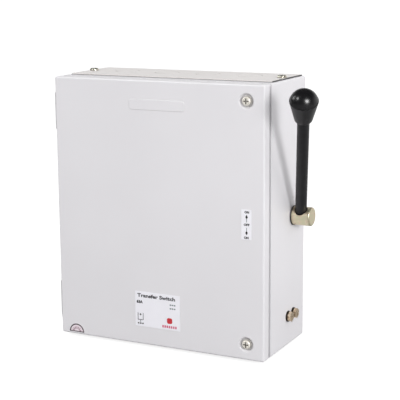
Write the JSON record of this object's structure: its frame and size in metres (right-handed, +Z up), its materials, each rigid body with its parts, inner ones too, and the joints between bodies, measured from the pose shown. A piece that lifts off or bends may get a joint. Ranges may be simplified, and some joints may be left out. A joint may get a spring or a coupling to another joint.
{
  "type": "manual transfer switch",
  "caption": "Wall-mounted manual changeover switch: a shallow sheet-steel case with a hinged door, and a side handle that throws knife blades between two supplies.",
  "frame": {"origin": "centre of the back face of the case, on the wall plane", "axes": "+X towards the handle side, +Y into the wall, +Z up; the door faces -Y"},
  "size_m": [0.3274, 0.1377, 0.3082],
  "materials": {
    "enamel": "light grey-white powder coat, semi-gloss",
    "yellow_zinc": "yellow passivated zinc plate",
    "bright_zinc": "bright zinc plate",
    "bare_steel": "cold-drawn steel, oiled",
    "copper": "bare electrolytic copper, drawn finish",
    "moulding": "black thermoset moulding",
    "barrier": "cream insulating sheet",
    "red_moulding": "brown-red insulating sleeve",
    "nylon": "black nylon",
    "black_rod": "black stove enamel, semi-gloss",
    "black_knob": "black phenolic moulding, glossy",
    "foam": "closed-cell foam",
    "label": "white printed film",
    "spring_steel": "blued spring steel"
  },
  "bodies": {
    "case": {"case_body": "enamel", "top_gland_plate": "enamel", "bottom_gland_plate": "enamel", "gland_plate_screws": "yellow_zinc", "lock_brackets": "bright_zinc", "earth_bolts": "yellow_zinc", "earth_washers": "yellow_zinc", "earth_nuts": "yellow_zinc", "shaft_bush": "nylon", "case_hinge_leaves": "enamel", "hinge_pins": "bright_zinc", "mounting_plate": "bright_zinc", "plate_spacers": "bright_zinc", "plate_screws": "bright_zinc", "left_bearing_plate": "bright_zinc", "right_bearing_plate": "bright_zinc", "mechanism_screws": "bright_zinc", "index_spring": "spring_steel", "index_roller": "bare_steel", "phase_barriers": "barrier", "terminal_screws": "bright_zinc", "pole_base_1": "moulding", "upper_contact_1": "copper", "lower_contact_1": "copper", "load_contact_1": "copper", "pole_base_2": "moulding", "upper_contact_2": "copper", "lower_contact_2": "copper", "load_contact_2": "copper", "pole_base_3": "moulding", "upper_contact_3": "copper", "lower_contact_3": "copper", "load_contact_3": "copper", "pole_base_4": "moulding", "upper_contact_4": "copper", "lower_contact_4": "copper", "load_contact_4": "copper"},
    "door": {"door_panel": "enamel", "door_gasket": "foam", "door_hinge_leaves": "enamel", "rating_label": "label", "position_label": "label", "quality_badge": "label"},
    "rotor": {"switch_shaft": "bare_steel", "rotor_sleeve": "red_moulding", "index_cam": "bare_steel", "shaft_circlip": "spring_steel", "handle_hub": "yellow_zinc", "handle_rod": "black_rod", "handle_knob": "black_knob", "moving_blade_1": "copper", "moving_blade_2": "copper", "moving_blade_3": "copper", "moving_blade_4": "copper"},
    "upper_screw_carrier": {"upper_screw_washer": "bright_zinc"},
    "upper_screw": {"upper_door_screw": "bright_zinc"},
    "lower_screw_carrier": {"lower_screw_washer": "bright_zinc"},
    "lower_screw": {"lower_door_screw": "bright_zinc"}
  },
  "joints": [
    {"name": "handle_throw", "type": "hinge", "parent": "case", "child": "rotor", "pos_m": [0, -0.0335, -0.0025], "axis": [1, 0, 0], "range_deg": [0, 114]},
    {"name": "door_swing", "type": "hinge", "parent": "case", "child": "door", "pos_m": [-0.133, -0.102, 0], "axis": [0, 0, -1], "range_deg": [0, 115]},
    {"name": "upper_screw_feed", "type": "slide", "parent": "door", "child": "upper_screw_carrier", "axis": [0, -1, 0], "range_m": [0, 0.006]},
    {"name": "upper_screw_turn", "type": "hinge", "parent": "upper_screw_carrier", "child": "upper_screw", "pos_m": [0.108, -0.115, 0.1325], "axis": [0, -1, 0], "range_deg": [0, 2160.5]},
    {"name": "lower_screw_feed", "type": "slide", "parent": "door", "child": "lower_screw_carrier", "axis": [0, -1, 0], "range_m": [0, 0.006]},
    {"name": "lower_screw_turn", "type": "hinge", "parent": "lower_screw_carrier", "child": "lower_screw", "pos_m": [0.108, -0.115, -0.1325], "axis": [0, -1, 0], "range_deg": [0, 2160.5]}
  ],
  "couplings": [
    {"joint": "upper_screw_turn", "follows": "upper_screw_feed", "rad_per_m": 6283.2},
    {"joint": "lower_screw_turn", "follows": "lower_screw_feed", "rad_per_m": 6283.2}
  ]
}
